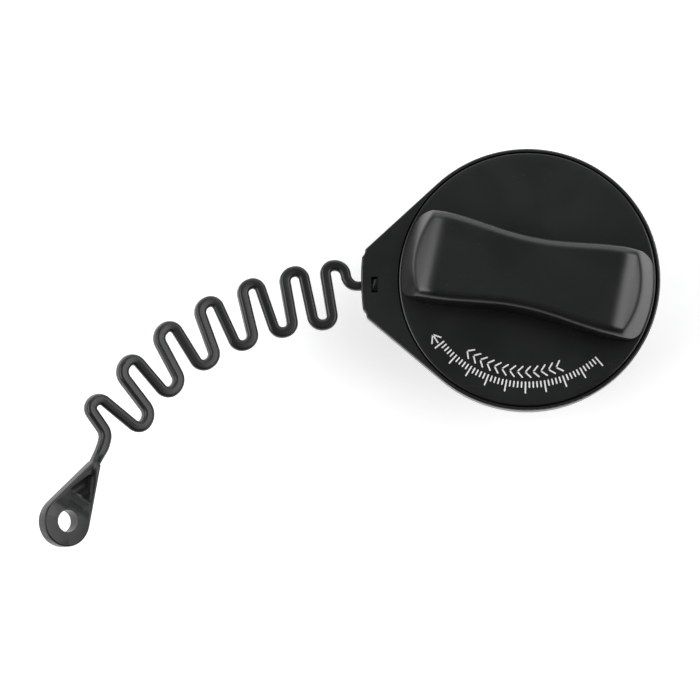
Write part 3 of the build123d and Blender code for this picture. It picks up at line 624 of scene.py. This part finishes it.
def handling_marks():
    """Scuff: hairlines in two directions, broken up by a slow noise. Dust: scattered specks."""
    tree, given, result = new_group(
        "handling_marks", {"Position": None, "Hairline Scale": 90.0}, ("Scuff", "Dust"))
    link = tree.links.new
    lines = []
    for turn_degrees, stretch in ((24.0, (1.0, 26.0, 1.0)), (-57.0, (1.0, 34.0, 1.0))):
        turned = add_node(tree, "ShaderNodeMapping", Scale=stretch,
                          Rotation=(0.0, 0.0, np.radians(turn_degrees)))
        hair = add_node(tree, "ShaderNodeTexNoise", Detail=3.0, Roughness=0.7)
        cut = add_range(tree, "From", 0.66, 0.76)
        link(given.outputs["Position"], turned.inputs["Vector"])
        link(turned.outputs["Vector"], hair.inputs["Vector"])
        link(given.outputs["Hairline Scale"], hair.inputs["Scale"])
        link(hair.outputs["Fac"], cut.inputs["Value"])
        lines.append(cut.outputs["Result"])
    both = add_node(tree, "ShaderNodeMath", operation="MAXIMUM")
    where = add_node(tree, "ShaderNodeTexNoise", Scale=70.0, Detail=2.0)
    patch = add_range(tree, "From", 0.42, 0.66, interpolation_type="SMOOTHSTEP")
    broken = add_node(tree, "ShaderNodeMath", operation="MULTIPLY")
    speck = add_node(tree, "ShaderNodeTexVoronoi", Scale=620.0)
    near = add_range(tree, "From", 0.14, 0.05)
    thin = add_node(tree, "ShaderNodeMath", operation="MULTIPLY")
    for texture in (where, speck):
        link(given.outputs["Position"], texture.inputs["Vector"])
    link(lines[0], both.inputs[0])
    link(lines[1], both.inputs[1])
    link(where.outputs["Fac"], patch.inputs["Value"])
    link(both.outputs[0], broken.inputs[0])
    link(patch.outputs["Result"], broken.inputs[1])
    link(broken.outputs[0], result.inputs["Scuff"])
    link(speck.outputs["Distance"], near.inputs["Value"])
    link(near.outputs["Result"], thin.inputs[0])
    link(patch.outputs["Result"], thin.inputs[1])
    link(thin.outputs[0], result.inputs["Dust"])
    return tree


grain_group = moulded_grain()
marks_group = handling_marks()
print("groups:", [group.name for group in bpy.data.node_groups])


# %% [markdown]
# ## Finishes
#
# All the black mouldings share one recipe: a dark colour that shifts a little with the flow tone,
# a roughness that the scuffs and the tone change, and a bump from the grain. What sets them apart
# is how matt, how coarse and how reflective they are: the cover is polished satin, the strap is a
# softer grade that reflects less, and the glass-filled plug is the coarsest. Rubber, foam and metal
# get a recipe of their own.

# %% Moulded plastics
um = 1e-6
dust_grey = (0.16, 0.16, 0.155, 1.0)


def moulded(name, dark, light, roughness, grain_depth, grain_scale=5200.0, scuffs=0.12,
            dust=0.25, ior=1.58):
    """Plastic finish: colour and roughness follow flow tone, hairlines and dust; grain is in
    metres of height."""
    material, tree, output = new_material(name)
    link = tree.links.new
    place = add_node(tree, "ShaderNodeTexCoord")
    grain = add_node(tree, "ShaderNodeGroup", node_tree=grain_group)
    grain.inputs["Grain Scale"].default_value = grain_scale
    marks = add_node(tree, "ShaderNodeGroup", node_tree=marks_group)
    tone = add_tones(tree, dark, light)
    dusty = add_node(tree, "ShaderNodeMix", data_type="RGBA")
    dusty.inputs["B"].default_value = dust_grey
    faint = add_node(tree, "ShaderNodeMath", operation="MULTIPLY")
    faint.inputs[1].default_value = dust
    gloss = add_range(tree, "To", roughness - 0.02, roughness + 0.03)
    scuffed = add_node(tree, "ShaderNodeMath", operation="MULTIPLY_ADD")
    scuffed.inputs[1].default_value = scuffs
    bump = add_node(tree, "ShaderNodeBump", Strength=1.0, Distance=grain_depth)
    shader = add_node(tree, "ShaderNodeBsdfPrincipled", IOR=ior)
    for group in (grain, marks):
        link(place.outputs["Object"], group.inputs["Position"])
    link(grain.outputs["Tone"], tone.inputs["Factor"])
    link(tone.outputs["Result"], dusty.inputs["A"])
    link(marks.outputs["Dust"], faint.inputs[0])
    link(faint.outputs[0], dusty.inputs["Factor"])
    link(dusty.outputs["Result"], shader.inputs["Base Color"])
    link(grain.outputs["Tone"], gloss.inputs["Value"])
    link(marks.outputs["Scuff"], scuffed.inputs[0])
    link(gloss.outputs["Result"], scuffed.inputs[2])
    link(scuffed.outputs[0], shader.inputs["Roughness"])
    link(grain.outputs["Grain"], bump.inputs["Height"])
    link(bump.outputs["Normal"], shader.inputs["Normal"])
    link(shader.outputs[0], output.inputs["Surface"])
    return material


finish = {
    "cover_satin": moulded("cover_satin", (0.0058, 0.0065, 0.0064), (0.0074, 0.0081, 0.0078),
                           0.31, 1.2 * um),
    "tether_satin": moulded("tether_satin", (0.0100, 0.0112, 0.0108), (0.0132, 0.0142, 0.0138),
                            0.34, 2.5 * um, scuffs=0.08, dust=0.15, ior=1.49),
    "plug_nylon": moulded("plug_nylon", (0.014, 0.0145, 0.015), (0.021, 0.021, 0.021),
                          0.46, 6.0 * um, grain_scale=2600.0),
    "acetal_white": moulded("acetal_white", (0.68, 0.66, 0.60), (0.75, 0.73, 0.68),
                            0.34, 1.5 * um, dust=0.0),
    "valve_nylon": moulded("valve_nylon", (0.66, 0.64, 0.57), (0.73, 0.71, 0.65),
                           0.42, 3.0 * um, dust=0.0),
    "print_ink": moulded("print_ink", (0.84, 0.84, 0.82), (0.90, 0.90, 0.88),
                         0.45, 1.0 * um, dust=0.0),
}


# %% Rubber, foam and metals
def soft_finish(name, dark, light, roughness, cell_scale, cell_depth):
    """Rubber or foam: cells or pores from a Voronoi pattern, with tone from the same grain."""
    material, tree, output = new_material(name)
    link = tree.links.new
    place = add_node(tree, "ShaderNodeTexCoord")
    grain = add_node(tree, "ShaderNodeGroup", node_tree=grain_group)
    cells = add_node(tree, "ShaderNodeTexVoronoi", Scale=cell_scale)
    shade = add_tones(tree, dark, light)
    mixed = add_node(tree, "ShaderNodeMath", operation="MULTIPLY")
    rough = add_range(tree, "To", roughness - 0.06, roughness + 0.06)
    bump = add_node(tree, "ShaderNodeBump", Strength=1.0, Distance=cell_depth)
    shader = add_node(tree, "ShaderNodeBsdfPrincipled")
    link(place.outputs["Object"], grain.inputs["Position"])
    link(place.outputs["Object"], cells.inputs["Vector"])
    link(cells.outputs["Distance"], mixed.inputs[0])
    link(grain.outputs["Tone"], mixed.inputs[1])
    link(mixed.outputs[0], shade.inputs["Factor"])
    link(shade.outputs["Result"], shader.inputs["Base Color"])
    link(grain.outputs["Tone"], rough.inputs["Value"])
    link(rough.outputs["Result"], shader.inputs["Roughness"])
    link(cells.outputs["Distance"], bump.inputs["Height"])
    link(bump.outputs["Normal"], shader.inputs["Normal"])
    link(shader.outputs[0], output.inputs["Surface"])
    return material


def worked_metal(name, dark, light, roughness, line_scale):
    """Drawn or turned metal: fine rings about the axis, from a noise stretched across it."""
    material, tree, output = new_material(name)
    link = tree.links.new
    place = add_node(tree, "ShaderNodeTexCoord")
    marks = add_node(tree, "ShaderNodeGroup", node_tree=marks_group)
    flat = add_node(tree, "ShaderNodeMapping", Scale=(0.05, 0.05, 1.0))
    lines = add_node(tree, "ShaderNodeTexNoise", Scale=line_scale, Detail=4.0, Roughness=0.7)
    shade = add_tones(tree, dark, light)
    rough = add_range(tree, "To", roughness - 0.08, roughness + 0.08)
    scuffed = add_node(tree, "ShaderNodeMath", operation="MULTIPLY_ADD")
    scuffed.inputs[1].default_value = 0.15
    bump = add_node(tree, "ShaderNodeBump", Strength=1.0, Distance=1.5 * um)
    shader = add_node(tree, "ShaderNodeBsdfPrincipled", Metallic=1.0)
    link(place.outputs["Object"], flat.inputs["Vector"])
    link(place.outputs["Object"], marks.inputs["Position"])
    link(flat.outputs["Vector"], lines.inputs["Vector"])
    link(lines.outputs["Fac"], shade.inputs["Factor"])
    link(shade.outputs["Result"], shader.inputs["Base Color"])
    link(lines.outputs["Fac"], rough.inputs["Value"])
    link(marks.outputs["Scuff"], scuffed.inputs[0])
    link(rough.outputs["Result"], scuffed.inputs[2])
    link(scuffed.outputs[0], shader.inputs["Roughness"])
    link(lines.outputs["Fac"], bump.inputs["Height"])
    link(bump.outputs["Normal"], shader.inputs["Normal"])
    link(shader.outputs[0], output.inputs["Surface"])
    return material


finish["seal_rubber"] = soft_finish("seal_rubber", (0.010, 0.010, 0.010), (0.020, 0.020, 0.020),
                                    0.62, 2400.0, 2.5 * um)
finish["filter_foam"] = soft_finish("filter_foam", (0.030, 0.031, 0.033), (0.085, 0.087, 0.090),
                                    0.85, 900.0, 180 * um)
finish["spring_steel"] = worked_metal("spring_steel", (0.42, 0.42, 0.42), (0.60, 0.60, 0.59),
                                      0.30, 5200.0)
finish["poppet_brass"] = worked_metal("poppet_brass", (0.52, 0.36, 0.14), (0.72, 0.53, 0.24),
                                      0.26, 6800.0)
print("finishes:", sorted(finish))

# %% Paint every piece
def paint(piece, finish_name):
    """Give a piece one finish, in place of what it brought."""
    piece.data.materials.clear()
    piece.data.materials.append(finish[finish_name])


painted = {
    "cover_satin": ["tether_ring"],
    "plug_nylon": ["closure_body", "seat_cup"],
    "seal_rubber": ["neck_gasket", "seat_o_ring", "pressure_seal"],
    "acetal_white": ["torque_ring", "drive_plate"],
    "valve_nylon": ["valve_plate", "spring_cup"],
    "filter_foam": ["vent_filter"],
    "spring_steel": ["vacuum_clip"],
    "poppet_brass": ["vacuum_poppet"],
}
for finish_name, members in painted.items():
    for member in members:
        paint(nodes[member], finish_name)
paint(cover_skin, "cover_satin")
paint(strap_skin, "tether_satin")
paint(pressure_coil, "spring_steel")
paint(vacuum_coil, "spring_steel")
paint(print_marks, "print_ink")
print("painted", sum(map(len, painted.values())), "construction nodes, and each new piece")
